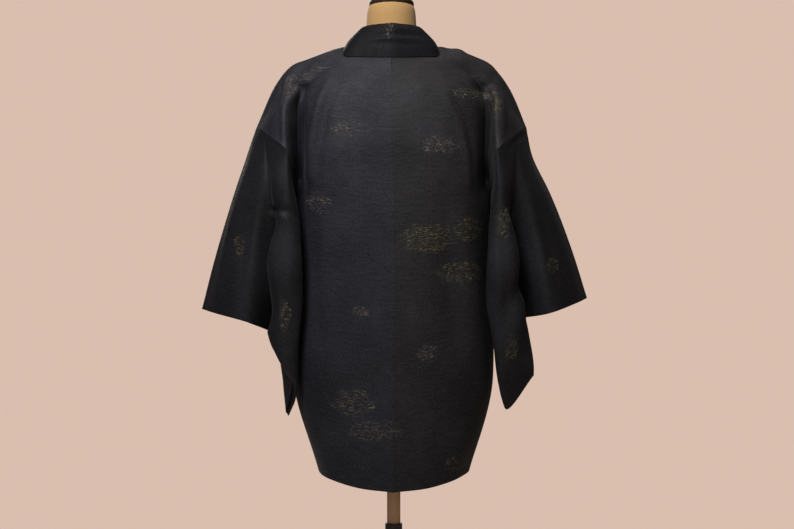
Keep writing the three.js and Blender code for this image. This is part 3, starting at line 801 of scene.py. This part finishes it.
def sleeve_grid(sleeve_sections):
    """The closed tube of a left sleeve, a row for each step from armhole to cuff."""
    slack = np.array([UNDERARM_SLACK, 0, 0])
    middle_back, corner, middle_front = np.array(SLEEVE_INNER_EDGE, float)
    seam_back = (SHOULDER - UNDERARM_BACK) * SEAM_STEPS
    seam_front = (UNDERARM_FRONT - SHOULDER) * SEAM_STEPS
    lower_places = [2 * step / LOWER_STEPS for step in range(LOWER_STEPS + 1)]
    lower_columns = [LOWER_COLUMNS * step / LOWER_STEPS for step in range(1, LOWER_STEPS + 1)]
    back_edge = [body_edge(SHOULDER - step / SEAM_STEPS) for step in range(seam_back + 1)]
    back_edge[-1] = back_edge[-1] + slack
    down = curve_through([back_edge[-1], middle_back, corner], lower_places)
    back_columns = [ARMHOLE_COLUMNS * step / seam_back for step in range(seam_back + 1)]
    back_columns += [ARMHOLE_COLUMNS + column for column in lower_columns]
    back_edge = np.array([*back_edge, *down[1:]])
    underarm = body_edge(UNDERARM_FRONT) + slack
    up = curve_through([corner, middle_front, underarm], lower_places)
    hole_front = [UNDERARM_FRONT - step / SEAM_STEPS for step in range(1, seam_front)]
    front_edge = np.array([*up[1:], *(body_edge(place) for place in hole_front)])
    front_width = FRONT_COLUMNS - LOWER_COLUMNS
    front_columns = [*lower_columns]
    front_columns += [LOWER_COLUMNS + front_width * step / seam_front for step in range(1, seam_front)]

    lines = [back_edge]
    for starts, section in zip(SLEEVE_COLUMNS, sleeve_sections):
        places = [float(np.interp(column, starts, range(len(starts)))) for column in back_columns]
        lines.append(curve_through(section, places))
    rows = [len(sleeve_sections) * step / (SLEEVE_STEPS * 3) for step in range(SLEEVE_STEPS * 3 + 1)]
    back_layer = curve_through(lines, rows)
    inward = normals_of(back_layer)

    grid = []
    for row, line in enumerate(back_layer):
        share = min(1, row / (len(rows) - 1) / FRONT_SPREAD)
        swing = 1 - share * share * (3 - 2 * share)
        closing = max(0, (row / (len(rows) - 1) - CLOSING_FROM) / (1 - CLOSING_FROM))
        depth = SLEEVE_DEPTH + (CUFF_DEPTH - SLEEVE_DEPTH) * closing
        front = []
        for start, column in zip(front_edge, front_columns):
            height = 1 - column / FRONT_COLUMNS
            where = height * (ARMHOLE_COLUMNS + LOWER_COLUMNS)
            here = at_column(where, back_columns, line)
            first = at_column(where, back_columns, back_layer[0])
            turn = at_column(where, back_columns, inward[row])
            turn /= np.linalg.norm(turn)
            rounding = 1 - min(1, FOLD_SHARE * min(height, 1 - height))
            nested = here + turn * depth * math.sqrt(1 - rounding**2)
            hung = here - first
            carried = start + hung * (1, -1, 1)
            fullness = min(1, max(0, (height - FULL_FROM) / FULL_OVER))
            fullness *= fullness * (3 - 2 * fullness)
            carried[0] += FRONT_FULLNESS * fullness * math.sin(math.pi * swing)
            front.append(nested + (carried - nested) * swing)
        grid.append([*line, *front])
    return np.array(grid), len(back_columns)


# The sleeves' silk is painted darker than the body's, as shade.
sleeve_silk_painted_shade = silk("sleeve silk with painted shade", SLEEVE_SILK_PAINTED_SHADE)
for side, flip, sleeve_sections in (("left", 1, SLEEVE_LEFT), ("right", -1, SLEEVE_RIGHT)):
    tube, back_count = sleeve_grid(sleeve_sections)
    tube = leaned(tube * (mirror if flip < 0 else 1))
    tube[0] += unit(tube[1] - tube[0]) * SEAM
    tube_layers = np.where(np.arange(tube.shape[1]) < back_count, "back", "front")[None, :]
    tube_layers = np.broadcast_to(tube_layers, tube.shape[:2])
    outward = normals_of(tube, closed=True)
    outward *= 1 if outward[30, 10, 1] > 0 else -1
    edge_fade = np.ones(tube.shape[:2])
    edge_fade[:EDGE_CELLS] = np.linspace(0, 1, EDGE_CELLS)[:, None]
    pressed = tube.copy()
    press_creases(pressed, outward, tube_layers, SLEEVE_CREASES)
    hang_unevenly(pressed, outward, SLEEVE_SWELL, 9 + flip)
    tube += (pressed - tube) * edge_fade[..., None]
    values = motif_values(tube, tube_layers, SLEEVE_MOTIFS)
    piece = cloth_piece(
        "silk_sleeve_" + side, tube, values, sleeve_silk_painted_shade, "sleeve_" + side, (30, 10, (0, 1, 0)), closed=True
    )

# ---- Gussets ----
# A narrow tapered strip of the silk joins back and front at each side, from underarm to hem. It is
# sewn to the side edges of the body, and is widest at the hem.
GUSSET_CELLS = 8

back_rows = [row for row, place in enumerate(body_places) if place <= UNDERARM_BACK]
for side, flip in (("left", 1), ("right", -1)):
    strip = []
    for row in back_rows:
        place = body_places[row]
        start, end = body_edge(place), body_edge(len(BODY_SECTIONS) - 1 - place)
        strip.append([start + (end - start) * cell / GUSSET_CELLS for cell in range(GUSSET_CELLS + 1)])
    strip = leaned(np.array(strip) * (mirror if flip < 0 else 1))
    narrowed(strip, SEAM)
    no_motifs = [np.zeros(strip.shape[:2])] * 2
    piece = cloth_piece(
        "silk_gusset_" + side, strip, no_motifs, body_silk_lit_and_shaded[side], "gusset_" + side, (10, 4, (flip, 0, 0))
    )

# ---- Collar ----
# A long band of the silk, folded lengthwise and sewn to the neck edge from one front hem round the
# nape to the other. It stands up at the nape and lies out over the shoulders. A row for each of the
# body's sections from the nape on: the edge away from the body.
COLLAR_TOP = [
    [0, 58, 1446],
    [50, 38, 1443],
    [66, -12, 1433],
    [66, -62, 1409],
    [60, -116, 1346],
    [46, -146, 1230],
    [40, -157, 1172],
    [36, -166, 1120],
    [27, -190, 950],
    [19, -208, 770],
    [14, -228, 590],
]
COLLAR_CELLS = 14
COLLAR_ROLL = 4
# Painted shade: the collar is the same silk as the body, given a darker colour so that it stays dark under
# the light from above.
COLLAR_SILK_PAINTED_SHADE = (0.0062, 0.0060, 0.0074)
COLLAR_SHINE = 0.1
COLLAR_MOTIFS = [("back", 7, 1434, 11, 22, 0.2)]
COLLAR_CREASES = [
    ("back", 3, -3.5, [(-56, 1420), (-20, 1424), (20, 1424), (66, 1419)]),
    ("back", 4, 3.0, [(-58, 1413), (-20, 1417), (20, 1417), (68, 1412)]),
    ("back", 4, -2.0, [(-50, 1408), (-10, 1405), (40, 1409)]),
    ("back", 6, 2.4, [(-50, 1434), (-10, 1436), (44, 1435)]),
]
COLLAR_THICKNESS = 0.0036
COLLAR_SEAM = 0.9

collar_rows = [row for row, place in enumerate(body_places) if place >= NAPE]
collar_places = [body_places[row] - NAPE for row in collar_rows]
neck_line = body_grid[collar_rows, 0]
top_line = curve_through(COLLAR_TOP, collar_places)
band = np.array([
    [edge + (top - edge) * cell / COLLAR_CELLS for cell in range(COLLAR_CELLS + 1)]
    for edge, top in zip(neck_line, top_line)
])
roll = COLLAR_ROLL * np.sin(np.linspace(0, math.pi, COLLAR_CELLS + 1))
level = band * [1, 1, 0]
band += unit(level) * roll[:, None]
band = leaned(np.concatenate([band[:0:-1], band * mirror]))
band[:, 0] += unit(band[:, 1] - band[:, 0]) * COLLAR_SEAM
band_layers = np.full(band.shape[:2], "back")
outward = normals_of(band)
outward *= 1 if outward[len(band) // 2, COLLAR_CELLS // 2, 1] > 0 else -1
press_creases(band, outward, band_layers, COLLAR_CREASES)
band_values = motif_values(band, band_layers, COLLAR_MOTIFS)
collar_silk_painted_shade = silk("collar silk with painted shade", COLLAR_SILK_PAINTED_SHADE, COLLAR_SHINE)
nape_facing = (len(band) // 2, COLLAR_CELLS // 2, (0, 1, 0))
collar = cloth_piece(
    "silk_collar", band, band_values, collar_silk_painted_shade, "collar", nape_facing, thickness=COLLAR_THICKNESS
)

# ---- Studio ----
# A plain pale floor in a pale warm surround. The main light stands high behind the wearer's left.
# A weak warm one and a weak fill stand behind too, one hangs overhead and one lights the front.
FLOOR_RADIUS = 1.5
FLOOR_COLOUR = (0.75, 0.68, 0.62, 1)
SURROUND = (0.70, 0.52, 0.43, 1)
SURROUND_GLOW = 0.05  # how much of the surround's brightness falls on the jacket
AIM_HEIGHT = 1.0
LIGHTS = [
    # name, place, size, power, colour
    ("main light", (0.7, 1.75, 2.75), 0.9, 52, (0.96, 0.97, 1)),
    ("warm light", (-1.9, 2.2, 1.6), 1.2, 3, (1, 0.84, 0.7)),
    ("fill light", (0.1, 3.2, 1.3), 1.2, 4, (1, 0.95, 0.92)),
    ("high light", (0, 0.2, 2.9), 1.4, 12, (1, 0.95, 0.9)),
    ("front light", (0.6, -2.6, 1.9), 1.8, 36, (1, 0.95, 0.9)),
]

floor_form = bmesh.new()
bmesh.ops.create_circle(floor_form, cap_ends=True, radius=FLOOR_RADIUS, segments=96)
floor_mesh = bpy.data.meshes.new("floor")
floor_form.to_mesh(floor_mesh)
floor_form.free()
floor_finish = Finish("pale floor", {"Roughness": 0.8, "Base Color": FLOOR_COLOUR})
floor_mesh.materials.append(floor_finish.material)
floor = bpy.data.objects.new("floor", floor_mesh)
bpy.context.scene.collection.objects.link(floor)

world = bpy.data.worlds.new("pale surround")
world.use_nodes = True
surround = world.node_tree.nodes["Background"]
surround.inputs["Color"].default_value = SURROUND
sight = world.node_tree.nodes.new("ShaderNodeLightPath")
glow = world.node_tree.nodes.new("ShaderNodeMapRange")
glow.inputs["To Min"].default_value = SURROUND_GLOW
world.node_tree.links.new(sight.outputs["Is Camera Ray"], glow.inputs["Value"])
world.node_tree.links.new(glow.outputs["Result"], surround.inputs["Strength"])
bpy.context.scene.world = world
aim = Vector((0, 0, AIM_HEIGHT))
for name, place, size, power, colour in LIGHTS:
    lamp = bpy.data.lights.new(name, "AREA")
    lamp.size = size
    lamp.energy = power
    lamp.color = colour
    holder = bpy.data.objects.new(name, lamp)
    holder.location = place
    holder.rotation_euler = (aim - Vector(place)).to_track_quat("-Z", "Y").to_euler()
    bpy.context.scene.collection.objects.link(holder)
bpy.context.scene.view_settings.view_transform = "Standard"

# ---- Camera ----
# Level, behind the jacket and a little to the wearer's right of its middle.
CAMERA_PLACE = (-0.0048, 2.170, 0.998)
CAMERA_LENS = 50.57
CAMERA_SENSOR = 36

view_from = bpy.data.cameras.new("camera")
view_from.lens = CAMERA_LENS
view_from.sensor_width = CAMERA_SENSOR
camera = bpy.data.objects.new("camera", view_from)
turned_back = Matrix.Rotation(math.pi, 4, "Z") @ Matrix.Rotation(math.pi / 2, 4, "X")
camera.matrix_world = Matrix.Translation(CAMERA_PLACE) @ turned_back
bpy.context.scene.collection.objects.link(camera)
bpy.context.scene.camera = camera
